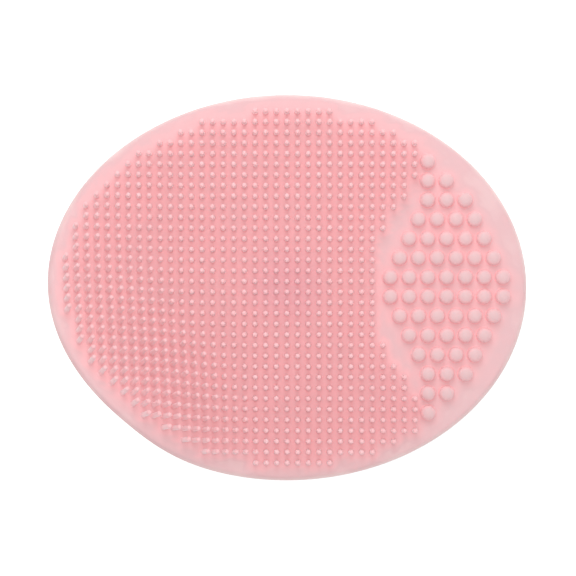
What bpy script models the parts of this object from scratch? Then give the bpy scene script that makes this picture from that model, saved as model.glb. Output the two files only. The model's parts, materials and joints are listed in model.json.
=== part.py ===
"""Silicone facial cleansing pad: an oval sheet of fine bristles and massage nubs on a suction-cup foot.

The object stands on its suction cup with the bristles up. The origin is on the table under the middle
of the oval, +X points to the massage-nub end and +Z points up. One corner of the sheet, at -X -Y, is
curled up, which is how the soft sheet rests. The sheet and everything on it are drawn flat first, in
plan and height above the sheet's middle surface, and then bent by one function, curled().
"""

import math

import bmesh
import bpy
import numpy as np

MM = 0.001

# Points closer than this are one point
SAME_POINT = 0.01 * MM
SHARP_ANGLE = math.radians(40.0)

# Oval sheet
HALF_LENGTH = 46.25 * MM
HALF_WIDTH = 37.25 * MM
SHEET_THICKNESS = 2.0 * MM
SHEET_MID_HEIGHT = 15.0 * MM
RIM_WIDTH = 1.15 * MM
SKIN_THICKNESS = 0.4 * MM
PIECE_GAP = 0.3 * MM
SHEET_SEGMENTS = 48
SHEET_RINGS = 7
RIM_ARC_STEPS = 4

# Curl of the free corner: the tilt grows outwards from the stiff middle and fades on both sides
CURL_TILT = math.radians(27.0)
CURL_DIRECTION = math.radians(216.5)
CURL_SPREAD_CLOCKWISE = math.radians(45.0)
CURL_SPREAD_ANTICLOCKWISE = math.radians(27.0)
CURL_START = 12.0 * MM
CURL_RAMP = 21.5 * MM
CURL_STEPS = 24
SLOPE_STEP = 0.05 * MM

# Fine bristles, on a square lattice
PITCH = 2.05 * MM
BRISTLE_ROWS = 34
BRISTLE_TIP_HEIGHT = 4.5 * MM
BRISTLE_BASE_RADIUS = 0.52 * MM
BRISTLE_TIP_RADIUS = 0.45 * MM
BRISTLE_SIDES = 3
BRISTLE_TURN = math.radians(135.0)
ROWS_PER_STRIP = 2
FIELD_HALF_LENGTH = 43.97 * MM
FIELD_HALF_WIDTH = 34.44 * MM
FIELD_SHIFT = 0.2 * MM
FIELD_RIGHT_LIMIT = 12.5 * PITCH
ARC_CENTRE = 21.4 * PITCH
ARC_RADIUS = 13.4 * PITCH
STRIP_END_MARGIN = 0.65 * MM
STRIP_OUTLINE_STEP = 1.5 * PITCH

# The fold runs on a lattice diagonal, where x + y is constant, half way between the bristles
FOLD_DIAGONAL = -15 * PITCH
FOLD_GAP_SKIN = 0.4 * MM
FOLD_GAP_SHEET = 0.8 * MM
FOLD_LEFT_X = -43.3 * MM
FOLD_RIGHT_X = 3.0 * MM
FOLD_SAMPLES = 25

# Massage nubs, in rows that step in by half a pitch
NUB_PITCH_X = 3.62 * MM
NUB_PITCH_Y = 3.73 * MM
NUB_FIRST_X = 19.9 * MM
NUB_ROWS_PER_SIDE = 7
NUB_STEPPED_ROWS = 4
NUB_SIDES = 8
NUB_PROFILE = [
    (1.45 * MM, 1.0 * MM),
    (1.38 * MM, 2.2 * MM),
    (0.85 * MM, 2.9 * MM),
]

# Suction cup, neck and the boss that carries the sheet
CUP_RADIUS = 18.0 * MM
CUP_LIP_HEIGHT = 1.2 * MM
CUP_LIP_INNER_RADIUS = 16.2 * MM
CUP_HEIGHT = 9.0 * MM
CUP_CROWN_RADIUS = 7.0 * MM
CUP_WALL_TOP = 1.8 * MM
CUP_ARC_STEPS = 6
NECK_RADIUS = 5.0 * MM
NECK_WAIST_RADIUS = 4.6 * MM
NECK_ROOT_TOP = 10.7 * MM
NECK_WAIST_HEIGHT = 1.2 * MM
BOSS_FLARE_RADIUS = 8.0 * MM
BOSS_RADIUS = 11.5 * MM
BOSS_DISC_THICKNESS = 0.6 * MM
FLARE_STEPS = 3
TURNED_SEGMENTS = 28

SILICONE_COLOUR = (0.89, 0.50, 0.53, 1.0)
BRISTLE_COLOUR = (0.95, 0.60, 0.62, 1.0)
CUP_COLOUR = (0.92, 0.52, 0.55, 1.0)
SILICONE_ROUGHNESS = 0.5


def clear_scene():
    for existing in list(bpy.data.objects):
        bpy.data.objects.remove(existing, do_unlink=True)


def silicone(name, colour):
    material = bpy.data.materials.new(name)
    material.use_nodes = True
    shader = material.node_tree.nodes["Principled BSDF"]
    shader.inputs["Base Color"].default_value = colour
    shader.inputs["Roughness"].default_value = SILICONE_ROUGHNESS
    shader.inputs["Metallic"].default_value = 0.0
    return material


def add_empty(name, location):
    empty = bpy.data.objects.new(name, None)
    empty.location = location
    bpy.context.collection.objects.link(empty)
    return empty


def add_object(name, bm, material, parent):
    """Add bm, a closed body in world coordinates, as an outward-facing object under a joint's empty."""
    bmesh.ops.recalc_face_normals(bm, faces=bm.faces)
    mesh = bpy.data.meshes.new(name)
    bm.to_mesh(mesh)
    bm.free()
    mesh.materials.append(material)
    mesh.shade_smooth()
    mesh.set_sharp_from_angle(angle=SHARP_ANGLE)
    part = bpy.data.objects.new(name, mesh)
    bpy.context.collection.objects.link(part)
    bpy.context.view_layer.update()
    part.parent = parent
    part.matrix_parent_inverse = parent.matrix_world.inverted()
    return part


# ---- The curled middle surface ----


def smoothstep(values):
    limited = np.clip(values, 0.0, 1.0)
    return limited * limited * (3.0 - 2.0 * limited)


def middle_surface(x, y):
    """Where the flat points (x, y) of the sheet's middle surface lie once the corner has curled up."""
    radius = np.hypot(x, y)
    bearing = np.arctan2(y, x)
    away = np.angle(np.exp(1j * (bearing - CURL_DIRECTION)))
    spread = np.where(away < 0.0, CURL_SPREAD_CLOCKWISE, CURL_SPREAD_ANTICLOCKWISE)
    full_tilt = CURL_TILT * np.exp(-((away / spread) ** 2))
    steps = (np.arange(CURL_STEPS) + 0.5) / CURL_STEPS
    ramp = smoothstep((radius[..., None] * steps - CURL_START) / CURL_RAMP)
    tilt = full_tilt[..., None] * ramp
    reach = radius * np.cos(tilt).mean(axis=-1)
    rise = radius * np.sin(tilt).mean(axis=-1)
    return np.stack([reach * np.cos(bearing), reach * np.sin(bearing), rise + SHEET_MID_HEIGHT], axis=-1)


def curled(points):
    """Bend flat points (x, y, height above the middle surface) into place."""
    points = np.asarray(points, dtype=float)
    x, y, height = points[:, 0], points[:, 1], points[:, 2]
    along_x = middle_surface(x + SLOPE_STEP, y) - middle_surface(x - SLOPE_STEP, y)
    along_y = middle_surface(x, y + SLOPE_STEP) - middle_surface(x, y - SLOPE_STEP)
    normal = np.cross(along_x, along_y)
    normal /= np.linalg.norm(normal, axis=1, keepdims=True)
    return middle_surface(x, y) + height[:, None] * normal


def curl_mesh(bm):
    bmesh.ops.triangulate(bm, faces=bm.faces)
    bent = curled([vertex.co for vertex in bm.verts])
    for vertex, position in zip(bm.verts, bent):
        vertex.co = position


# ---- Flat building blocks ----


def loop_of_edges(bm, vertices):
    return [bm.edges.new((vertices[k - 1], vertices[k])) for k in range(len(vertices))]


def polygon(centre_x, centre_y, radius, sides, turn):
    angles = [turn + 2.0 * math.pi * k / sides for k in range(sides)]
    return [(centre_x + radius * math.cos(a), centre_y + radius * math.sin(a)) for a in angles]


def wall(bm, lower, upper):
    for k in range(len(lower)):
        bm.faces.new((lower[k - 1], lower[k], upper[k], upper[k - 1]))


def studded_skin(outline, studs, profile, sides, turn):
    """A thin skin inside outline with a tapered stud on each of the plan points studs.

    profile holds each stud's (radius, height) rings, from the skin's upper face to the tip.
    """
    bm = bmesh.new()
    skin_top = profile[0][1]
    bottom = [bm.verts.new((x, y, skin_top - SKIN_THICKNESS)) for x, y in outline]
    top = [bm.verts.new((x, y, skin_top)) for x, y in outline]
    bottom_edges = loop_of_edges(bm, bottom)
    top_edges = loop_of_edges(bm, top)
    stud_rings = []
    for x, y in studs:
        rings = []
        for radius, height in profile:
            plan = polygon(x, y, radius, sides, turn)
            rings.append([bm.verts.new((px, py, height)) for px, py in plan])
        top_edges += loop_of_edges(bm, rings[0])
        stud_rings.append(rings)
    bmesh.ops.triangle_fill(bm, edges=bottom_edges, use_beauty=True)
    bmesh.ops.triangle_fill(bm, edges=top_edges, use_beauty=True)
    wall(bm, bottom, top)
    for rings in stud_rings:
        for lower, upper in zip(rings, rings[1:]):
            wall(bm, lower, upper)
        bm.faces.new(rings[-1])
    return bm


def turned(profile):
    """A closed body from an (r, z) profile spun about Z; the profile starts and ends on the axis."""
    bm = bmesh.new()
    vertices = [bm.verts.new((r, 0.0, z)) for r, z in profile]
    edges = [bm.edges.new(pair) for pair in zip(vertices, vertices[1:])]
    bmesh.ops.spin(
        bm,
        geom=vertices + edges,
        axis=(0.0, 0.0, 1.0),
        cent=(0.0, 0.0, 0.0),
        angle=2.0 * math.pi,
        steps=TURNED_SEGMENTS,
        use_merge=True,
    )
    bmesh.ops.remove_doubles(bm, verts=bm.verts, dist=SAME_POINT)
    return bm


def arc(centre_r, centre_z, radius_r, radius_z, start_deg, end_deg, steps):
    points = []
    for k in range(steps + 1):
        angle = math.radians(start_deg + (end_deg - start_deg) * k / steps)
        points.append((centre_r + radius_r * math.cos(angle), centre_z + radius_z * math.sin(angle)))
    return points


# ---- Suction cup and neck ----


def suction_cup_mesh():
    """A bell with a flat annular lip that seals on a smooth wall."""
    outer = arc(
        CUP_CROWN_RADIUS,
        CUP_LIP_HEIGHT,
        CUP_RADIUS - CUP_CROWN_RADIUS,
        CUP_HEIGHT - CUP_LIP_HEIGHT,
        0.0,
        90.0,
        CUP_ARC_STEPS,
    )
    inner_crown = CUP_HEIGHT - CUP_WALL_TOP
    inner = arc(
        CUP_CROWN_RADIUS,
        0.0,
        CUP_LIP_INNER_RADIUS - CUP_CROWN_RADIUS,
        inner_crown,
        90.0,
        0.0,
        CUP_ARC_STEPS,
    )
    profile = [(0.0, CUP_HEIGHT)] + outer[::-1] + [(CUP_RADIUS, 0.0)] + inner[::-1] + [(0.0, inner_crown)]
    return turned(profile)


def neck_root_mesh():
    """The flare where the neck leaves the cup's crown."""
    bottom = CUP_HEIGHT + PIECE_GAP
    reach = CUP_CROWN_RADIUS - NECK_RADIUS
    rise = NECK_ROOT_TOP - bottom
    flare = arc(CUP_CROWN_RADIUS, NECK_ROOT_TOP, reach, rise, 180.0, 270.0, FLARE_STEPS)
    return turned([(0.0, NECK_ROOT_TOP)] + flare + [(0.0, bottom)])


def neck_waist_mesh():
    """The narrow stretch that bends when the sheet rocks on its cup."""
    bottom = NECK_ROOT_TOP + PIECE_GAP
    top = bottom + NECK_WAIST_HEIGHT
    return turned([(0.0, top), (NECK_WAIST_RADIUS, top), (NECK_WAIST_RADIUS, bottom), (0.0, bottom)])


def pad_boss_mesh():
    """The flare and disc that spread the neck into the back of the sheet."""
    top = SHEET_MID_HEIGHT - SHEET_THICKNESS / 2.0 - PIECE_GAP
    disc_bottom = top - BOSS_DISC_THICKNESS
    bottom = NECK_ROOT_TOP + 2.0 * PIECE_GAP + NECK_WAIST_HEIGHT
    reach = BOSS_FLARE_RADIUS - NECK_RADIUS
    rise = disc_bottom - bottom
    flare = arc(BOSS_FLARE_RADIUS, bottom, reach, rise, 90.0, 180.0, FLARE_STEPS)
    return turned([(0.0, top), (BOSS_RADIUS, top), (BOSS_RADIUS, disc_bottom)] + flare + [(0.0, bottom)])


# ---- Sheet: a core and a round-edged rim, each cut at the fold ----


def oval_point(angle, inset):
    """A point of the oval's outline, moved inwards by inset along the outline's normal."""
    x = HALF_LENGTH * math.cos(angle)
    y = HALF_WIDTH * math.sin(angle)
    normal_x = math.cos(angle) / HALF_LENGTH
    normal_y = math.sin(angle) / HALF_WIDTH
    length = math.hypot(normal_x, normal_y)
    return x - inset * normal_x / length, y - inset * normal_y / length


def rim_section():
    """(inset, height) round the rim's section, with a half-round outer edge."""
    half = SHEET_THICKNESS / 2.0
    points = [(RIM_WIDTH, -half)]
    for k in range(RIM_ARC_STEPS + 1):
        angle = math.pi * (k / RIM_ARC_STEPS - 0.5)
        points.append((half - half * math.cos(angle), half * math.sin(angle)))
    return points + [(RIM_WIDTH, half)]


def flat_rim():
    bm = bmesh.new()
    section = rim_section()
    rings = []
    for k in range(SHEET_SEGMENTS):
        angle = 2.0 * math.pi * k / SHEET_SEGMENTS
        ring = []
        for inset, height in section:
            x, y = oval_point(angle, inset)
            ring.append(bm.verts.new((x, y, height)))
        rings.append(ring)
    for k in range(SHEET_SEGMENTS):
        wall(bm, rings[k - 1], rings[k])
    return bm


def flat_core():
    """The sheet inside the rim, lower than the rim by the skins that lie on it."""
    bm = bmesh.new()
    low = -SHEET_THICKNESS / 2.0
    high = SHEET_THICKNESS / 2.0 - SKIN_THICKNESS - PIECE_GAP
    centres = [bm.verts.new((0.0, 0.0, height)) for height in (low, high)]
    layers = []
    for height in (low, high):
        rings = []
        for ring in range(1, SHEET_RINGS + 1):
            share = ring / SHEET_RINGS
            points = []
            for k in range(SHEET_SEGMENTS):
                x, y = oval_point(2.0 * math.pi * k / SHEET_SEGMENTS, RIM_WIDTH + PIECE_GAP)
                points.append(bm.verts.new((share * x, share * y, height)))
            rings.append(points)
        layers.append(rings)
    for centre, rings in zip(centres, layers):
        for k in range(SHEET_SEGMENTS):
            bm.faces.new((centre, rings[0][k - 1], rings[0][k]))
        for inner, outer in zip(rings, rings[1:]):
            wall(bm, inner, outer)
    wall(bm, layers[0][-1], layers[1][-1])
    return bm


def cut_at_fold(bm, keep_corner):
    """Keep one side of the fold, half of the sheet's fold gap away from it, and close the cut."""
    side = -1.0 if keep_corner else 1.0
    bmesh.ops.recalc_face_normals(bm, faces=bm.faces)
    across = 1.0 / math.sqrt(2.0)
    distance = FOLD_DIAGONAL * across + side * FOLD_GAP_SHEET / 2.0
    cut = bmesh.ops.bisect_plane(
        bm,
        geom=list(bm.verts) + list(bm.edges) + list(bm.faces),
        dist=SAME_POINT,
        plane_co=(distance * across, distance * across, 0.0),
        plane_no=(side * across, side * across, 0.0),
        clear_inner=True,
    )
    edges = [item for item in cut["geom_cut"] if isinstance(item, bmesh.types.BMEdge)]
    bmesh.ops.edgeloop_fill(bm, edges=edges)
    return bm


# ---- Bristle field ----


def row_height(row):
    """The plan y of a row of bristles; row 0 is the furthest towards +Y."""
    return ((BRISTLE_ROWS - 1) / 2.0 - row) * PITCH


def in_field(x, y):
    inside_oval = ((x - FIELD_SHIFT) / FIELD_HALF_LENGTH) ** 2 + (y / FIELD_HALF_WIDTH) ** 2 <= 1.0
    clear_of_nubs = math.hypot(x - ARC_CENTRE, y) >= ARC_RADIUS
    return inside_oval and clear_of_nubs and x <= FIELD_RIGHT_LIMIT


def bristle_row(row, corner):
    """Plan points of the bristles of a row that are on one side of the fold."""
    y = row_height(row)
    columns = range(-BRISTLE_ROWS, BRISTLE_ROWS)
    field = [(column * PITCH, y) for column in columns if in_field(column * PITCH, y)]
    return [point for point in field if (point[0] + point[1] < FOLD_DIAGONAL) == corner]


def row_ends(row, corner):
    """The skin's left and right ends in a row, as functions of y; an end at the fold slants with it."""
    points = bristle_row(row, corner)
    left = points[0][0] - STRIP_END_MARGIN
    right = points[-1][0] + STRIP_END_MARGIN
    crosses_fold = bool(bristle_row(row, not corner))
    slant_gap = FOLD_GAP_SKIN / math.sqrt(2.0)

    def left_end(y):
        return FOLD_DIAGONAL - y + slant_gap if crosses_fold and not corner else left

    def right_end(y):
        return FOLD_DIAGONAL - y - slant_gap if crosses_fold and corner else right

    return left_end, right_end


def split_side(start, end):
    """Plan points from start up to, but not including, end, about STRIP_OUTLINE_STEP apart."""
    steps = max(1, round(math.dist(start, end) / STRIP_OUTLINE_STEP))
    return [
        (start[0] + (end[0] - start[0]) * k / steps, start[1] + (end[1] - start[1]) * k / steps)
        for k in range(steps)
    ]


def strip_outline(rows, corner):
    """The outline, anticlockwise, of the skin that joins the bristles of neighbouring rows."""
    edge_gap = PIECE_GAP / 2.0 if len(rows) == ROWS_PER_STRIP else PIECE_GAP
    left_side = []
    right_side = []
    for row in rows:
        left_end, right_end = row_ends(row, corner)
        high = row_height(row) + PITCH / 2.0 - (edge_gap if row == rows[0] else 0.0)
        low = row_height(row) - PITCH / 2.0 + (edge_gap if row == rows[-1] else 0.0)
        left_side += [(left_end(high), high), (left_end(low), low)]
        right_side += [(right_end(high), high), (right_end(low), low)]
    corners = left_side + right_side[::-1]
    distinct = [corners[k] for k in range(len(corners)) if math.dist(corners[k], corners[k - 1]) > SAME_POINT]
    outline = []
    for start, end in zip(distinct, distinct[1:] + distinct[:1]):
        outline += split_side(start, end)
    return outline


def add_bristle_strips(material, parents):
    """One strip for each pair of rows on the pad, and one for the pair's bristles on the curled corner."""
    tip = (BRISTLE_TIP_RADIUS, BRISTLE_TIP_HEIGHT)
    profile = [(BRISTLE_BASE_RADIUS, SHEET_THICKNESS / 2.0), tip]
    for first_row in range(0, BRISTLE_ROWS, ROWS_PER_STRIP):
        number = first_row // ROWS_PER_STRIP + 1
        for corner, prefix in ((False, "pad"), (True, "corner")):
            rows = [r for r in range(first_row, first_row + ROWS_PER_STRIP) if bristle_row(r, corner)]
            if not rows:
                continue
            studs = [point for row in rows for point in bristle_row(row, corner)]
            outline = strip_outline(rows, corner)
            bm = studded_skin(outline, studs, profile, BRISTLE_SIDES, BRISTLE_TURN)
            curl_mesh(bm)
            add_object(f"{prefix}_bristle_strip_{number:02d}", bm, material, parents[prefix])


# ---- Massage nubs ----


def nub_row(step, side):
    """Plan points of the nub row that is step rows out from the middle, on the +Y or -Y side."""
    y = side * (step + 0.5) * NUB_PITCH_Y
    first = NUB_FIRST_X + min(step, NUB_STEPPED_ROWS) * NUB_PITCH_X / 2.0
    return [(first + k * NUB_PITCH_X, y) for k in range(NUB_ROWS_PER_SIDE - step)]


def add_nub_rows(material, parent):
    half_band = (NUB_PITCH_Y - PIECE_GAP) / 2.0
    number = 0
    for side in (1, -1):
        for step in range(NUB_ROWS_PER_SIDE):
            number += 1
            nubs = nub_row(step, side)
            y = nubs[0][1]
            left = nubs[0][0] - NUB_PITCH_X / 2.0
            right = nubs[-1][0] + NUB_PITCH_X / 2.0
            outline = [
                (left, y - half_band),
                (right, y - half_band),
                (right, y + half_band),
                (left, y + half_band),
            ]
            bm = studded_skin(outline, nubs, NUB_PROFILE, NUB_SIDES, math.pi / NUB_SIDES)
            curl_mesh(bm)
            add_object(f"massage_nub_row_{number:02d}", bm, material, parent)


# ---- Assembly ----


def main():
    clear_scene()
    silicone_body = silicone("silicone_body", SILICONE_COLOUR)
    silicone_bristle = silicone("silicone_bristle", BRISTLE_COLOUR)
    silicone_cup = silicone("silicone_cup", CUP_COLOUR)

    waist_middle = NECK_ROOT_TOP + PIECE_GAP + NECK_WAIST_HEIGHT / 2.0
    fold_xs = np.linspace(FOLD_LEFT_X, FOLD_RIGHT_X, FOLD_SAMPLES)
    fold_middle = curled([(x, FOLD_DIAGONAL - x, 0.0) for x in fold_xs]).mean(axis=0)
    cup_axis = add_empty("cup_axis", (0.0, 0.0, 0.0))
    neck_pivot = add_empty("neck_pivot", (0.0, 0.0, waist_middle))
    corner_pivot = add_empty("corner_pivot", fold_middle)
    bpy.context.view_layer.update()

    add_object("suction_cup", suction_cup_mesh(), silicone_cup, cup_axis)
    add_object("neck_root", neck_root_mesh(), silicone_cup, cup_axis)
    add_object("neck_waist", neck_waist_mesh(), silicone_cup, neck_pivot)
    add_object("pad_boss", pad_boss_mesh(), silicone_body, neck_pivot)

    parents = {"pad": neck_pivot, "corner": corner_pivot}
    for flat_sheet, name in ((flat_core, "sheet"), (flat_rim, "rim")):
        for prefix, parent in parents.items():
            bm = cut_at_fold(flat_sheet(), prefix == "corner")
            curl_mesh(bm)
            add_object(f"{prefix}_{name}", bm, silicone_body, parent)

    add_bristle_strips(silicone_bristle, parents)
    add_nub_rows(silicone_body, neck_pivot)


main()
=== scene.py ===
"""The looks of the silicone facial cleansing pad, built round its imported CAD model.

The whole pad is one soft moulding, so every CAD solid is replaced by a finer piece in the same place. The
sheet, its bristles and its nubs are drawn flat first, in plan and height above the sheet's middle surface,
and then bent by the same curl as the CAD solids. Lengths are in metres.
"""

import json
import math

import bpy
import numpy as np
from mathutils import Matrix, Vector


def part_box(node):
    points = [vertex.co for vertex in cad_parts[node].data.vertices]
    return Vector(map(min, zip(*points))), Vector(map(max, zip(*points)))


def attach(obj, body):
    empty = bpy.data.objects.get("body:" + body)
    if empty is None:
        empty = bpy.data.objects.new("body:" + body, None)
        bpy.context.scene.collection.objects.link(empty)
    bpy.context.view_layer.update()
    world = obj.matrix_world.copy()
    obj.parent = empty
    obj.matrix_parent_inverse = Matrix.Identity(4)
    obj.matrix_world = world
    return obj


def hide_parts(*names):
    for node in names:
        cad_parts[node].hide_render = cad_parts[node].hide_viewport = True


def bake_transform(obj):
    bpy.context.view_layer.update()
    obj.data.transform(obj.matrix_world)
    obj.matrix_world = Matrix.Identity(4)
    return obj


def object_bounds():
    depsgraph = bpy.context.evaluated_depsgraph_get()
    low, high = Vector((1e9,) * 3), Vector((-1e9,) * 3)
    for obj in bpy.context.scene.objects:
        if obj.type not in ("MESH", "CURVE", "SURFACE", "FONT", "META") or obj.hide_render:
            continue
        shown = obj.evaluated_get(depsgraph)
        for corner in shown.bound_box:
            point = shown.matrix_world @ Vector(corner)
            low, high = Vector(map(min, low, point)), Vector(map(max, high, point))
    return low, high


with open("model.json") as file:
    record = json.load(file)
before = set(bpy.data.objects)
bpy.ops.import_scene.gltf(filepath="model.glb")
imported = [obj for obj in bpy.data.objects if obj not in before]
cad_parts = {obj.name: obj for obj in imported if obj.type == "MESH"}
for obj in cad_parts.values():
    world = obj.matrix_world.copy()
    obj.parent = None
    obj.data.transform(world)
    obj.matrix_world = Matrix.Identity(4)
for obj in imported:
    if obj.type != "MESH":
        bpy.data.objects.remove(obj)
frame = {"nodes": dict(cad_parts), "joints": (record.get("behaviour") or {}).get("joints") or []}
cad_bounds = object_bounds()

MM = 0.001
UP = Vector((0.0, 0.0, 1.0))
# Faces that meet at more than this angle keep a crisp edge between them
SHARP_ANGLE = math.radians(60.0)
# Points closer together than this count as one
SAME_POINT = 0.01 * MM

# ---- The sheet and its curl, as in the CAD model ----

HALF_LENGTH = cad_bounds[1].x
HALF_WIDTH = cad_bounds[1].y
SHEET_THICKNESS = 2.0 * MM
SHEET_TOP = SHEET_THICKNESS / 2.0
SHEET_MID_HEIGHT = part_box("pad_sheet")[0].z + SHEET_THICKNESS / 2.0

CURL_TILT = math.radians(27.0)
CURL_DIRECTION = math.radians(216.5)
CURL_SPREAD_CLOCKWISE = math.radians(45.0)
CURL_SPREAD_ANTICLOCKWISE = math.radians(27.0)
CURL_START = 12.0 * MM
CURL_RAMP = 21.5 * MM
CURL_STEPS = 24
# How far to either side the curl's slope is read
SLOPE_STEP = 0.05 * MM

# ---- Bristles and nubs, as in the CAD model ----

PITCH = 2.05 * MM
BRISTLE_ROWS = 34
ROWS_PER_STRIP = 2
FIELD_HALF_LENGTH = 43.97 * MM
FIELD_HALF_WIDTH = 34.44 * MM
FIELD_SHIFT = 0.2 * MM
FIELD_RIGHT_LIMIT = 12.5 * PITCH
ARC_CENTRE = 21.4 * PITCH
ARC_RADIUS = 13.4 * PITCH

NUB_PITCH_X = 3.62 * MM
NUB_PITCH_Y = 3.73 * MM
NUB_FIRST_X = 19.9 * MM
NUB_ROWS_PER_SIDE = 7
NUB_STEPPED_ROWS = 4

# ---- Fine shapes that the CAD solids leave out ----

SHEET_SEGMENTS = 192
SHEET_RINGS = 44
EDGE_STEPS = 24
FLASH_HEIGHT = 0.06 * MM
FLASH_SPREAD = math.radians(9.0)

BRISTLE_SIDES = 12
BRISTLE_TIP_HEIGHT = 4.5 * MM
BRISTLE_TIP_RADIUS = 0.45 * MM
BRISTLE_DOME_HEIGHT = 0.32 * MM
BRISTLE_DOME_STEPS = 4
BRISTLE_SHAFT_RADIUS = 0.48 * MM
BRISTLE_FOOT_RADIUS = 0.64 * MM
BRISTLE_FOOT_HEIGHT = 0.35 * MM
BRISTLE_FOOT_STEPS = 3
BRISTLE_SHAFT_STEPS = 3

NUB_SIDES = 32
NUB_TIP_HEIGHT = 2.9 * MM
NUB_RADIUS = 1.36 * MM
NUB_FOOT_RADIUS = 1.7 * MM
NUB_FOOT_HEIGHT = 0.35 * MM
NUB_FOOT_STEPS = 4
NUB_DOME_HEIGHT = 0.75 * MM
NUB_DOME_STEPS = 9

# How deep a stud or the neck reaches into what it stands on
SINK = 0.12 * MM

TURNED_SEGMENTS = 96
CUP_WALL_TOP = 1.8 * MM
CUP_LIP_INNER_SHARE = 0.9
CUP_LIP_HEIGHT = 1.2 * MM
CUP_ARC_STEPS = 18
LIP_BEAD_RADIUS = 0.6 * MM
LIP_BEAD_END_DEG = 60.0
LIP_BEAD_STEPS = 12
NECK_STEPS = 10
BOSS_DISC_THICKNESS = 0.6 * MM
BOSS_FLARE_RADIUS = 8.0 * MM
BOSS_ROUND = 0.25 * MM
BOSS_ROUND_STEPS = 5

# Half the width of the band in which the sheet turns between the pad and its corner
FOLD_REACH = 6.5 * MM

# ---- Tones: where a point lies on its material's row of painted light and shade, from 0 to 1 ----

PLAIN_TONE = 0.5

# The sheet has its field's tone this near to the middle of a stud, and turns bare over the fade beyond. The
# field's tone is painted light: redder, for the glow that translucent silicone keeps in the shade between
# the studs
BRISTLE_GAP_GLOW_TONE = 0.0
BRISTLE_REACH = 1.1 * MM
BRISTLE_FADE = 1.0 * MM
NUB_GAP_GLOW_TONE = 0.25
NUB_REACH = 1.9 * MM
NUB_FADE = 1.6 * MM

# The edge is painted pale, as painted light that comes up through it from the table, and loses this share of
# that painted light where the curl has lifted it this far
LIFTED_EDGE_SHARE = 0.75
EDGE_LIFT = 5.0 * MM

# (share of a stud's height, tone of its painted light and shade)
STUD_PAINTED_LIGHT = ((0.0, 0.0), (0.3, 0.5), (0.8, 0.5), (0.94, 1.0))

# ---- Colours, in sRGB from 0 to 255 ----

# Each row holds three tones of the same silicone, for the tone attribute's values 0, 0.5 and 1; they paint
# light and shade onto it.
# Sheet: between the bristles, painted redder as light kept in their shade; bare border, plain; outermost
# edge, painted paler as light coming up through it
SHEET_PAINTED_LIGHT_TONES = ((250, 193, 196), (233, 190, 193), (250, 221, 219))
# Stud: foot, side, tip, as painted light and shade. A bristle's thin side is painted paler than its foot and
# tip for the light it lets through; a nub's shaded foot is painted redder and its lit top less red
BRISTLE_PAINTED_LIGHT_TONES = ((253, 199, 202), (254, 218, 221), (252, 196, 199))
NUB_PAINTED_LIGHT_TONES = ((253, 193, 196), (247, 196, 199), (233, 194, 196))
# Neck and cup: hollow, painted deeper as shade; outside, plain; thin lip, painted paler as light coming
# through it
CUP_PAINTED_LIGHT_TONES = ((247, 184, 188), (251, 203, 206), (252, 218, 218))
# Painted shadow: where the neck behind the sheet keeps light from coming through it
NECK_SHADOW = (238, 178, 192)
NECK_SHADOW_SHARE = 0.2
NECK_SHADOW_RADIUS = 3.0 * MM
NECK_SHADOW_END = 9.0 * MM
FLOOR_GREY = (240, 240, 240)
WHITE = (1.0, 1.0, 1.0, 1.0)

# ---- The silicone's surface ----

# Nearly all values of a noise texture lie in this range
NOISE_RANGE = (0.3, 0.7)
MOTTLE_SIZE = 7.0 * MM
MOTTLE_DETAIL = 3.0
MOTTLE_TONES = (-0.12, 0.12)
SMUDGE_SIZE = 1.6 * MM
SMUDGE_DETAIL = 4.0
ROUGHNESS_RANGE = (0.40, 0.54)
GRAIN_SIZE = 0.12 * MM
GRAIN_DETAIL = 2.0
GRAIN_STRENGTH = 0.35
GRAIN_DEPTH = 0.012 * MM
SILICONE_IOR = 1.41
SUBSURFACE_WEIGHT = 0.12
SUBSURFACE_RADIUS = (1.0, 0.6, 0.55)
SUBSURFACE_SCALE = 0.3 * MM
SHEEN_WEIGHT = 0.7
SHEEN_ROUGHNESS = 0.4

# ---- Studio ----

FLOOR_HALF_SIDE = 1.5
FLOOR_ROUGHNESS = 0.8
FLOOR_GLOW = 0.62
WORLD_STRENGTH = 0.7
# (name, place, side of the square in metres, power in watts)
SOFT_LIGHTS = (
    ("overhead", (0.0, 0.05, 0.75), 0.5, 1.1),
    ("side", (0.0, 0.17, 0.2), 0.14, 0.17),
)
CAMERA_LEAN = math.radians(2.06)
CAMERA_DISTANCE = 0.464
CAMERA_AIM = Vector((0.2 * MM, -0.18 * MM, SHEET_MID_HEIGHT))
LENS_MM = 150.0
SENSOR_MM = 36.0
CLIP_START = 0.01
CLIP_END = 10.0


def linear(colour):
    """A linear RGBA from an sRGB triple."""
    shares = np.asarray(colour) / 255.0
    values = np.where(shares <= 0.04045, shares / 12.92, ((shares + 0.055) / 1.055) ** 2.4)
    return (*values.tolist(), 1.0)


# ---- The curl ----


def smoothstep(values):
    """0 below 0, 1 above 1, and a smooth rise between."""
    limited = np.clip(values, 0.0, 1.0)
    return limited * limited * (3.0 - 2.0 * limited)


def middle_surface(x, y):
    """Where the flat points (x, y) of the sheet's middle surface lie once the corner has curled up."""
    radius = np.hypot(x, y)
    bearing = np.arctan2(y, x)
    away = np.angle(np.exp(1j * (bearing - CURL_DIRECTION)))
    spread = np.where(away < 0.0, CURL_SPREAD_CLOCKWISE, CURL_SPREAD_ANTICLOCKWISE)
    full_tilt = CURL_TILT * np.exp(-((away / spread) ** 2))
    steps = (np.arange(CURL_STEPS) + 0.5) / CURL_STEPS
    ramp = smoothstep((radius[..., None] * steps - CURL_START) / CURL_RAMP)
    tilt = full_tilt[..., None] * ramp
    reach = radius * np.cos(tilt).mean(axis=-1)
    rise = radius * np.sin(tilt).mean(axis=-1)
    return np.stack([reach * np.cos(bearing), reach * np.sin(bearing), rise + SHEET_MID_HEIGHT], axis=-1)


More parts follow.
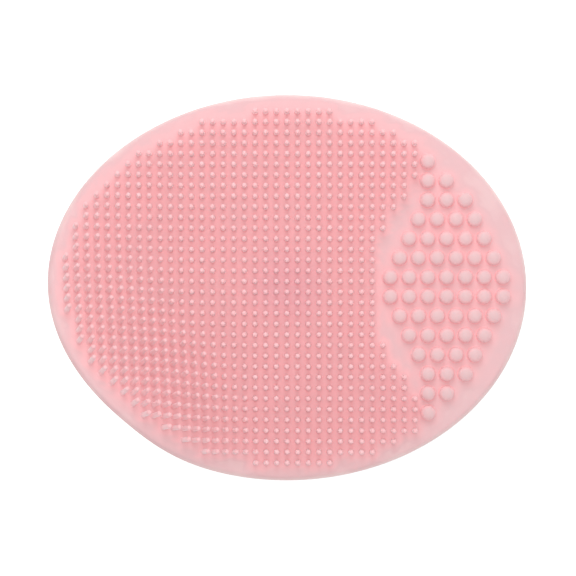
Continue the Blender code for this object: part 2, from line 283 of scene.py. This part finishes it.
def curled(points):
    """Bend flat points (x, y, height above the middle surface) into place."""
    points = np.asarray(points, dtype=float)
    x, y, height = points.T
    along_x = middle_surface(x + SLOPE_STEP, y) - middle_surface(x - SLOPE_STEP, y)
    along_y = middle_surface(x, y + SLOPE_STEP) - middle_surface(x, y - SLOPE_STEP)
    normal = np.cross(along_x, along_y)
    normal /= np.linalg.norm(normal, axis=1, keepdims=True)
    return middle_surface(x, y) + height[:, None] * normal


# ---- Meshes ----


def closed_skin(rings):
    """Points and faces of a closed surface through rings of points, the first and last of one point each."""
    points = [point for ring in rings for point in ring]
    segments = max(len(ring) for ring in rings)
    faces = []
    start = 0
    for lower, upper in zip(rings, rings[1:]):
        above = start + len(lower)
        for k in range(segments):
            before = k - 1
            corners = [
                start + before % len(lower),
                start + k % len(lower),
                above + k % len(upper),
                above + before % len(upper),
            ]
            faces.append(tuple(dict.fromkeys(corners)))
        start = above
    return points, faces


def turned(profile, segments):
    """A closed surface from a profile of (radius, height) that starts and ends on the axis."""
    angles = [2.0 * math.pi * k / segments for k in range(segments)]
    rings = []
    for radius, height in profile:
        if radius == 0.0:
            rings.append([(0.0, 0.0, height)])
        else:
            rings.append([(radius * math.cos(a), radius * math.sin(a), height) for a in angles])
    return closed_skin(rings)


def scattered(centres, profile, sides):
    """One turned stud on each plan point of centres, in flat coordinates."""
    stud_points, stud_faces = turned(profile, sides)
    points = []
    faces = []
    for x, y in centres:
        first = len(points)
        points += [(x + px, y + py, height) for px, py, height in stud_points]
        faces += [tuple(first + corner for corner in face) for face in stud_faces]
    return points, faces


def ellipse_arc(centre_r, centre_z, radius_r, radius_z, start_deg, end_deg, steps):
    """Points of an elliptic arc in (radius, height)."""
    points = []
    for k in range(steps + 1):
        angle = math.radians(start_deg + (end_deg - start_deg) * k / steps)
        points.append((centre_r + radius_r * math.cos(angle), centre_z + radius_z * math.sin(angle)))
    return points


def add_piece(name, points, faces, material, replaced, tones):
    """A smooth piece. tones places each point, from 0 to 1, on its material's row of painted light and shade
    tones.
    """
    mesh = bpy.data.meshes.new(name)
    mesh.from_pydata(points, [], faces)
    mesh.shade_smooth()
    mesh.set_sharp_from_angle(angle=SHARP_ANGLE)
    rest = mesh.attributes.new("rest", "FLOAT_VECTOR", "POINT")
    rest.data.foreach_set("vector", np.asarray(points, dtype=np.float32).ravel())
    tone = mesh.attributes.new("tone", "FLOAT", "POINT")
    tone.data.foreach_set("value", np.asarray(tones, dtype=np.float32))
    mesh.materials.append(material)
    piece = bpy.data.objects.new(name, mesh)
    bpy.context.collection.objects.link(piece)
    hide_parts(*replaced)
    return piece


# ---- The fold that pad and corner share ----


def blend_at_fold(piece):
    """Work out where a band across the corner's hinge starts and ends on the sheet's slope, and bake the
    piece's place into its mesh; the piece isn't bent across the hinge.
    """
    joint = next(joint for joint in frame["joints"] if joint["name"] == "corner_curl")
    middle = Vector(joint["pos_m"])
    outwards = UP.cross(Vector(joint["axis"])).normalized()
    outwards = outwards if outwards.dot(middle) > 0.0 else -outwards
    flat = [middle + sign * FOLD_REACH * outwards for sign in (-1.0, 1.0)]
    start, end = curled([(point.x, point.y, 0.0) for point in flat])
    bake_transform(piece)


# ---- Sheet ----


def oval_point(angle, inset):
    """A point of the oval's outline, moved inwards by inset along the outline's normal."""
    x = HALF_LENGTH * math.cos(angle)
    y = HALF_WIDTH * math.sin(angle)
    normal_x = math.cos(angle) / HALF_LENGTH
    normal_y = math.sin(angle) / HALF_WIDTH
    length = math.hypot(normal_x, normal_y)
    return x - inset * normal_x / length, y - inset * normal_y / length


def sheet_section():
    """(share of the way out, inset, height) from the middle of the underside round the edge to the top's.

    The round edge carries the thin flash line that the mould's two halves leave.
    """
    shares = [ring / SHEET_RINGS for ring in range(SHEET_RINGS)]
    section = [(share, SHEET_TOP, -SHEET_TOP) for share in shares]
    for step in range(EDGE_STEPS + 1):
        angle = math.pi * (step / EDGE_STEPS - 0.5)
        radius = SHEET_TOP + FLASH_HEIGHT * math.exp(-((angle / FLASH_SPREAD) ** 2))
        section.append((1.0, SHEET_TOP - radius * math.cos(angle), radius * math.sin(angle)))
    section += [(share, SHEET_TOP, SHEET_TOP) for share in reversed(shares)]
    return section


def sheet_painted_light(points):
    """The tone at each point of the sheet: its field's between the studs, as painted light, plain where it
    is bare, 1 on its edge, as painted light coming up through it.
    """
    x, y, height = np.asarray(points).T
    tones = np.full(len(points), PLAIN_TONE)
    bristle_field = (all_bristles(), BRISTLE_GAP_GLOW_TONE, BRISTLE_REACH, BRISTLE_FADE)
    nub_field = (all_nubs(), NUB_GAP_GLOW_TONE, NUB_REACH, NUB_FADE)
    # Painted light: the sheet turns redder near the studs, for the glow kept in their shade
    for studs, tone, reach, fade in (bristle_field, nub_field):
        nearest = np.full(len(points), HALF_LENGTH)
        for stud_x, stud_y in studs:
            nearest = np.minimum(nearest, np.hypot(x - stud_x, y - stud_y))
        bare = smoothstep((nearest - reach) / fade)
        tones = np.minimum(tones, tone + (PLAIN_TONE - tone) * bare)
    tones[height < 0.0] = PLAIN_TONE
    # Painted light: the edge is paler, and less so where the curl lifts it off the table
    lift = middle_surface(x, y)[:, 2] - SHEET_MID_HEIGHT
    lifted = LIFTED_EDGE_SHARE * smoothstep(lift / EDGE_LIFT)
    edge_glow = (1.0 - lifted) * (1.0 - (height / SHEET_TOP) ** 2)
    return tones + (1.0 - tones) * edge_glow


def add_sheet(material):
    rings = []
    for share, inset, height in sheet_section():
        if share == 0.0:
            rings.append([(0.0, 0.0, height)])
            continue
        ring = []
        for k in range(SHEET_SEGMENTS):
            x, y = oval_point(2.0 * math.pi * k / SHEET_SEGMENTS, inset)
            ring.append((share * x, share * y, height))
        rings.append(ring)
    points, faces = closed_skin(rings)
    replaced = ["pad_sheet", "pad_rim", "corner_sheet", "corner_rim"]
    tones = sheet_painted_light(points)
    sheet = add_piece("sheet", curled(points), faces, material, replaced, tones)
    blend_at_fold(sheet)


# ---- Bristles ----


def row_height(row):
    """The plan y of a row of bristles; row 0 is the furthest towards +Y."""
    return ((BRISTLE_ROWS - 1) / 2.0 - row) * PITCH


def in_field(x, y):
    """Whether a plan point of the lattice carries a bristle."""
    inside_oval = ((x - FIELD_SHIFT) / FIELD_HALF_LENGTH) ** 2 + (y / FIELD_HALF_WIDTH) ** 2 <= 1.0
    clear_of_nubs = math.hypot(x - ARC_CENTRE, y) >= ARC_RADIUS
    return inside_oval and clear_of_nubs and x <= FIELD_RIGHT_LIMIT


def bristle_row(row):
    """Plan points of one row's bristles, from -X to +X."""
    y = row_height(row)
    columns = range(-BRISTLE_ROWS, BRISTLE_ROWS)
    return [(column * PITCH, y) for column in columns if in_field(column * PITCH, y)]


def all_bristles():
    return [centre for row in range(BRISTLE_ROWS) for centre in bristle_row(row)]


def flared_foot(radius, foot_radius, foot_height, steps):
    """A hollow flare from just under the sheet's face up to a stud's wall."""
    flare_top = SHEET_TOP + foot_height
    flare_width = foot_radius - radius
    flare = ellipse_arc(foot_radius, flare_top, flare_width, foot_height, 270.0, 180.0, steps)
    return [(0.0, SHEET_TOP - SINK), (foot_radius, SHEET_TOP - SINK)] + flare


def stud_painted_light(points, tip_height):
    """The tone of painted light and shade at each point of a field of studs, from its height above the sheet
    alone.
    """
    shares = (np.asarray(points)[:, 2] - SHEET_TOP) / (tip_height - SHEET_TOP)
    return np.interp(shares, *zip(*STUD_PAINTED_LIGHT))


def bristle_profile():
    """A slightly tapered rod with a round tip."""
    foot = flared_foot(BRISTLE_SHAFT_RADIUS, BRISTLE_FOOT_RADIUS, BRISTLE_FOOT_HEIGHT, BRISTLE_FOOT_STEPS)
    foot_top = foot[-1][1]
    dome_base = BRISTLE_TIP_HEIGHT - BRISTLE_DOME_HEIGHT
    shaft = []
    for step in range(1, BRISTLE_SHAFT_STEPS):
        share = step / BRISTLE_SHAFT_STEPS
        radius = BRISTLE_SHAFT_RADIUS + (BRISTLE_TIP_RADIUS - BRISTLE_SHAFT_RADIUS) * share
        shaft.append((radius, foot_top + (dome_base - foot_top) * share))
    dome_size = (BRISTLE_TIP_RADIUS, BRISTLE_DOME_HEIGHT)
    dome = ellipse_arc(0.0, dome_base, *dome_size, 0.0, 90.0, BRISTLE_DOME_STEPS)
    return foot + shaft + dome[:-1] + [(0.0, BRISTLE_TIP_HEIGHT)]


def add_bristles(material):
    """A piece for each pair of rows; a piece whose rows reach into the corner replaces both strips."""
    profile = bristle_profile()
    for first_row in range(0, BRISTLE_ROWS, ROWS_PER_STRIP):
        number = first_row // ROWS_PER_STRIP + 1
        centres = []
        for row in range(first_row, first_row + ROWS_PER_STRIP):
            centres += bristle_row(row)
        points, faces = scattered(centres, profile, BRISTLE_SIDES)
        tones = stud_painted_light(points, BRISTLE_TIP_HEIGHT)
        pad_node = f"pad_bristle_strip_{number:02d}"
        corner_node = f"corner_bristle_strip_{number:02d}"
        crosses = corner_node in frame["nodes"]
        replaced = [pad_node, corner_node] if crosses else [pad_node]
        name = f"bristle_rows_{number:02d}"
        piece = add_piece(name, curled(points), faces, material, replaced, tones)
        if crosses:
            blend_at_fold(piece)
        else:
            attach(piece, "pad")


# ---- Massage nubs ----


def nub_row(step, side):
    """Plan points of the nub row that is step rows out from the middle, on the +Y or -Y side."""
    y = side * (step + 0.5) * NUB_PITCH_Y
    first = NUB_FIRST_X + min(step, NUB_STEPPED_ROWS) * NUB_PITCH_X / 2.0
    return [(first + k * NUB_PITCH_X, y) for k in range(NUB_ROWS_PER_SIDE - step)]


def nub_rows():
    """Every nub row, from the middle outwards on the +Y side and then on the -Y side."""
    return [nub_row(step, side) for side in (1, -1) for step in range(NUB_ROWS_PER_SIDE)]


def all_nubs():
    return [centre for row in nub_rows() for centre in row]


def nub_profile():
    """A low round stud with a domed top."""
    foot = flared_foot(NUB_RADIUS, NUB_FOOT_RADIUS, NUB_FOOT_HEIGHT, NUB_FOOT_STEPS)
    dome_base = NUB_TIP_HEIGHT - NUB_DOME_HEIGHT
    dome = ellipse_arc(0.0, dome_base, NUB_RADIUS, NUB_DOME_HEIGHT, 0.0, 90.0, NUB_DOME_STEPS)
    return foot + dome[:-1] + [(0.0, NUB_TIP_HEIGHT)]


def add_nubs(material):
    """A piece for each row."""
    profile = nub_profile()
    for number, row in enumerate(nub_rows(), start=1):
        points, faces = scattered(row, profile, NUB_SIDES)
        tones = stud_painted_light(points, NUB_TIP_HEIGHT)
        replaced = [f"massage_nub_row_{number:02d}"]
        name = f"nub_row_{number:02d}"
        piece = add_piece(name, curled(points), faces, material, replaced, tones)
        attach(piece, "pad")


# ---- Neck and suction cup ----


def waist(low_radius, low_z, high_radius, high_z, steps):
    """A neck's hollow side between two radii, as a smooth curve that stands upright at the narrow end."""
    slim, wide = sorted((low_radius, high_radius))
    points = []
    for k in range(steps + 1):
        share = k / steps
        distance = share if low_radius < high_radius else 1.0 - share
        radius = slim + (wide - slim) * (1.0 - math.sqrt(1.0 - distance * distance))
        points.append((radius, low_z + (high_z - low_z) * share))
    return points


def add_neck(material):
    """The neck in two halves, which meet where the two rocking hinges cross."""
    waist_low, waist_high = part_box("neck_waist")
    root_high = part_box("neck_root")[1]
    boss_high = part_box("pad_boss")[1]
    pivot_z = (waist_low.z + waist_high.z) / 2.0
    crown_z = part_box("suction_cup")[1].z
    sheet_bottom = SHEET_MID_HEIGHT - SHEET_TOP
    disc_bottom = boss_high.z - BOSS_DISC_THICKNESS

    side = waist(root_high.x, crown_z, waist_high.x, pivot_z, NECK_STEPS)
    profile = [(0.0, crown_z - SINK), (root_high.x, crown_z - SINK)] + side + [(0.0, pivot_z)]
    points, faces = turned(profile, TURNED_SEGMENTS)
    tones = np.full(len(points), PLAIN_TONE)
    replaced = ["neck_root", "neck_waist"]
    lower = add_piece("neck_lower_half", points, faces, material, replaced, tones)
    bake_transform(lower)

    side = waist(waist_high.x, pivot_z, BOSS_FLARE_RADIUS, disc_bottom, NECK_STEPS)
    edge_r = boss_high.x - BOSS_ROUND
    edge_z = disc_bottom + BOSS_ROUND
    edge = ellipse_arc(edge_r, edge_z, BOSS_ROUND, BOSS_ROUND, 270.0, 360.0, BOSS_ROUND_STEPS)
    top = [(boss_high.x, sheet_bottom + SINK), (0.0, sheet_bottom + SINK)]
    points, faces = turned([(0.0, pivot_z)] + side + edge + top, TURNED_SEGMENTS)
    tones = np.full(len(points), PLAIN_TONE)
    upper = add_piece("neck_upper_half", points, faces, material, ["pad_boss"], tones)
    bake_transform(upper)


def cup_painted_light(points, inner):
    """The tone at each point of the bell: 0 in its hollow, as painted shade, plain outside, 1 on the thin
    lip, as painted light.
    """
    x, y, height = np.asarray(points).T
    inner_radius, inner_height = np.asarray(inner).T
    hollow_radius = np.interp(height, inner_height[::-1], inner_radius[::-1])
    in_hollow = np.hypot(x, y) <= hollow_radius + SAME_POINT
    tones = np.where(in_hollow & (height <= inner_height[0]), 0.0, PLAIN_TONE)
    near_lip = smoothstep(1.0 - height / (2.0 * CUP_LIP_HEIGHT))
    return tones + (1.0 - tones) * near_lip


def add_cup(material):
    """A bell with a beaded sealing lip; the real cup's crown sinks towards the lip when the cup is pressed.
    """
    cup_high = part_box("suction_cup")[1]
    radius = cup_high.x
    crown_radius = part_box("neck_root")[1].x
    inner_crown = cup_high.z - CUP_WALL_TOP
    lip_inner = radius * CUP_LIP_INNER_SHARE
    inner = ellipse_arc(crown_radius, 0.0, lip_inner - crown_radius, inner_crown, 90.0, 0.0, CUP_ARC_STEPS)
    bead = LIP_BEAD_RADIUS
    lip = ellipse_arc(radius - bead, bead, bead, bead, -90.0, LIP_BEAD_END_DEG, LIP_BEAD_STEPS)
    bell_reach = lip[-1][0] - crown_radius
    bell_rise = cup_high.z - CUP_LIP_HEIGHT
    outer = ellipse_arc(crown_radius, CUP_LIP_HEIGHT, bell_reach, bell_rise, 0.0, 90.0, CUP_ARC_STEPS)
    profile = [(0.0, inner_crown)] + inner + lip + outer + [(0.0, cup_high.z)]
    points, faces = turned(profile, TURNED_SEGMENTS)
    tones = cup_painted_light(points, inner)
    cup = add_piece("suction_cup_bell", points, faces, material, ["suction_cup"], tones)
    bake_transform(cup)


# ---- Materials ----


def add_noise(tree, coordinates, size, detail):
    """A noise texture whose patches are about size across."""
    noise = tree.nodes.new("ShaderNodeTexNoise")
    noise.inputs["Scale"].default_value = 1.0 / size
    noise.inputs["Detail"].default_value = detail
    tree.links.new(coordinates, noise.inputs["Vector"])
    return noise.outputs["Fac"]


def add_range(tree, value, source, target):
    """value mapped from the source range to the target range, and kept inside it."""
    mapping = tree.nodes.new("ShaderNodeMapRange")
    mapping.inputs["From Min"].default_value = source[0]
    mapping.inputs["From Max"].default_value = source[1]
    mapping.inputs["To Min"].default_value = target[0]
    mapping.inputs["To Max"].default_value = target[1]
    tree.links.new(value, mapping.inputs["Value"])
    return mapping.outputs["Result"]


def add_sum(tree, first, second):
    adding = tree.nodes.new("ShaderNodeMath")
    adding.operation = "ADD"
    tree.links.new(first, adding.inputs[0])
    tree.links.new(second, adding.inputs[1])
    return adding.outputs["Value"]


def add_neck_shadow(tree, coordinates, colour):
    """Painted shadow: darken the middle, where the neck behind the sheet keeps light from coming through it.
    """
    flatten = tree.nodes.new("ShaderNodeVectorMath")
    flatten.operation = "MULTIPLY"
    flatten.inputs[1].default_value = (1.0, 1.0, 0.0)
    tree.links.new(coordinates, flatten.inputs[0])
    length = tree.nodes.new("ShaderNodeVectorMath")
    length.operation = "LENGTH"
    tree.links.new(flatten.outputs["Vector"], length.inputs[0])
    fading = (NECK_SHADOW_RADIUS, NECK_SHADOW_END)
    share = add_range(tree, length.outputs["Value"], fading, (NECK_SHADOW_SHARE, 0.0))
    mixing = tree.nodes.new("ShaderNodeMix")
    mixing.data_type = "RGBA"
    mixing.inputs["B"].default_value = linear(NECK_SHADOW)
    tree.links.new(share, mixing.inputs["Factor"])
    tree.links.new(colour, mixing.inputs["A"])
    return mixing.outputs["Result"]


def add_tones(tree, share, tones):
    """A colour from the row of sRGB tones, which are spread evenly from share 0 to share 1."""
    ramp = tree.nodes.new("ShaderNodeValToRGB")
    ramp.color_ramp.elements.remove(ramp.color_ramp.elements[0])
    ramp.color_ramp.elements[0].position = 0.0
    ramp.color_ramp.elements[0].color = linear(tones[0])
    for number in range(1, len(tones)):
        element = ramp.color_ramp.elements.new(number / (len(tones) - 1))
        element.color = linear(tones[number])
    tree.links.new(share, ramp.inputs["Fac"])
    return ramp.outputs["Color"]


def silicone(name, tones, shows_neck_shadow):
    """Translucent satin silicone with a moulded grain, and painted light and shade from its tone attribute.
    """
    material = bpy.data.materials.new(name)
    material.use_nodes = True
    tree = material.node_tree
    shader = tree.nodes["Principled BSDF"]
    rest = tree.nodes.new("ShaderNodeAttribute")
    rest.attribute_name = "rest"
    tone = tree.nodes.new("ShaderNodeAttribute")
    tone.attribute_name = "tone"

    patches = add_noise(tree, rest.outputs["Vector"], MOTTLE_SIZE, MOTTLE_DETAIL)
    mottle = add_range(tree, patches, NOISE_RANGE, MOTTLE_TONES)
    # Painted light and shade: the base colour is read from the tone attribute's row of lit and shaded tones
    colour = add_tones(tree, add_sum(tree, tone.outputs["Fac"], mottle), tones)
    # Painted shadow of the neck seen through the sheet
    if shows_neck_shadow:
        colour = add_neck_shadow(tree, rest.outputs["Vector"], colour)
    tree.links.new(colour, shader.inputs["Base Color"])

    smudges = add_noise(tree, rest.outputs["Vector"], SMUDGE_SIZE, SMUDGE_DETAIL)
    roughness = add_range(tree, smudges, NOISE_RANGE, ROUGHNESS_RANGE)
    tree.links.new(roughness, shader.inputs["Roughness"])

    grain = tree.nodes.new("ShaderNodeBump")
    grain.inputs["Strength"].default_value = GRAIN_STRENGTH
    grain.inputs["Distance"].default_value = GRAIN_DEPTH
    grain_height = add_noise(tree, rest.outputs["Vector"], GRAIN_SIZE, GRAIN_DETAIL)
    tree.links.new(grain_height, grain.inputs["Height"])
    tree.links.new(grain.outputs["Normal"], shader.inputs["Normal"])

    shader.inputs["IOR"].default_value = SILICONE_IOR
    shader.inputs["Subsurface Weight"].default_value = SUBSURFACE_WEIGHT
    shader.inputs["Subsurface Radius"].default_value = SUBSURFACE_RADIUS
    shader.inputs["Subsurface Scale"].default_value = SUBSURFACE_SCALE
    shader.inputs["Sheen Weight"].default_value = SHEEN_WEIGHT
    shader.inputs["Sheen Roughness"].default_value = SHEEN_ROUGHNESS
    return material


def floor_material():
    """A pale floor that shows white, and sends back only part of the light that falls on it."""
    material = bpy.data.materials.new("pale_floor")
    material.use_nodes = True
    tree = material.node_tree
    shader = tree.nodes["Principled BSDF"]
    shader.inputs["Base Color"].default_value = linear(FLOOR_GREY)
    shader.inputs["Roughness"].default_value = FLOOR_ROUGHNESS
    shader.inputs["Emission Color"].default_value = WHITE
    path = tree.nodes.new("ShaderNodeLightPath")
    glow = add_range(tree, path.outputs["Is Camera Ray"], (0.0, 1.0), (0.0, FLOOR_GLOW))
    tree.links.new(glow, shader.inputs["Emission Strength"])
    return material


# ---- Floor, light and camera ----


def add_floor():
    half = FLOOR_HALF_SIDE
    mesh = bpy.data.meshes.new("floor")
    corners = [(-half, -half, 0.0), (half, -half, 0.0), (half, half, 0.0), (-half, half, 0.0)]
    mesh.from_pydata(corners, [], [(0, 1, 2, 3)])
    mesh.materials.append(floor_material())
    floor = bpy.data.objects.new("floor", mesh)
    bpy.context.collection.objects.link(floor)


def add_soft_light(name, place, size, power):
    """A square area light that faces the middle of the sheet."""
    data = bpy.data.lights.new(name, "AREA")
    data.shape = "SQUARE"
    data.size = size
    data.energy = power
    light = bpy.data.objects.new(name, data)
    light.location = place
    target = Vector((0.0, 0.0, SHEET_MID_HEIGHT))
    light.rotation_euler = (target - light.location).to_track_quat("-Z", "Y").to_euler()
    light.visible_camera = False
    bpy.context.collection.objects.link(light)


def add_world():
    """White light from all round, behind which the studio itself shows white, as its floor does."""
    world = bpy.data.worlds.new("studio")
    world.use_nodes = True
    tree = world.node_tree
    background = tree.nodes["Background"]
    background.inputs["Color"].default_value = WHITE
    path = tree.nodes.new("ShaderNodeLightPath")
    shown = add_range(tree, path.outputs["Is Camera Ray"], (0.0, 1.0), (WORLD_STRENGTH, 1.0))
    tree.links.new(shown, background.inputs["Strength"])
    bpy.context.scene.world = world


def add_camera():
    """Straight above the pad with a long lens, leaning two degrees, with +Y upwards in the picture."""
    data = bpy.data.cameras.new("camera")
    data.lens = LENS_MM
    data.sensor_width = SENSOR_MM
    data.clip_start = CLIP_START
    data.clip_end = CLIP_END
    camera = bpy.data.objects.new("camera", data)
    away = Vector((0.0, -math.sin(CAMERA_LEAN), math.cos(CAMERA_LEAN)))
    camera.location = CAMERA_AIM + CAMERA_DISTANCE * away
    camera.rotation_euler = (CAMERA_LEAN, 0.0, 0.0)
    bpy.context.collection.objects.link(camera)
    bpy.context.scene.camera = camera


def main():
    sheet_silicone = silicone("sheet_silicone", SHEET_PAINTED_LIGHT_TONES, shows_neck_shadow=True)
    bristle_silicone = silicone("bristle_silicone", BRISTLE_PAINTED_LIGHT_TONES, shows_neck_shadow=True)
    nub_silicone = silicone("nub_silicone", NUB_PAINTED_LIGHT_TONES, shows_neck_shadow=False)
    cup_silicone = silicone("cup_silicone", CUP_PAINTED_LIGHT_TONES, shows_neck_shadow=False)
    add_sheet(sheet_silicone)
    add_bristles(bristle_silicone)
    add_nubs(nub_silicone)
    add_neck(cup_silicone)
    add_cup(cup_silicone)

    add_floor()
    add_world()
    for name, place, size, power in SOFT_LIGHTS:
        add_soft_light(name, place, size, power)
    add_camera()
    bpy.context.scene.view_settings.view_transform = "Standard"


main()
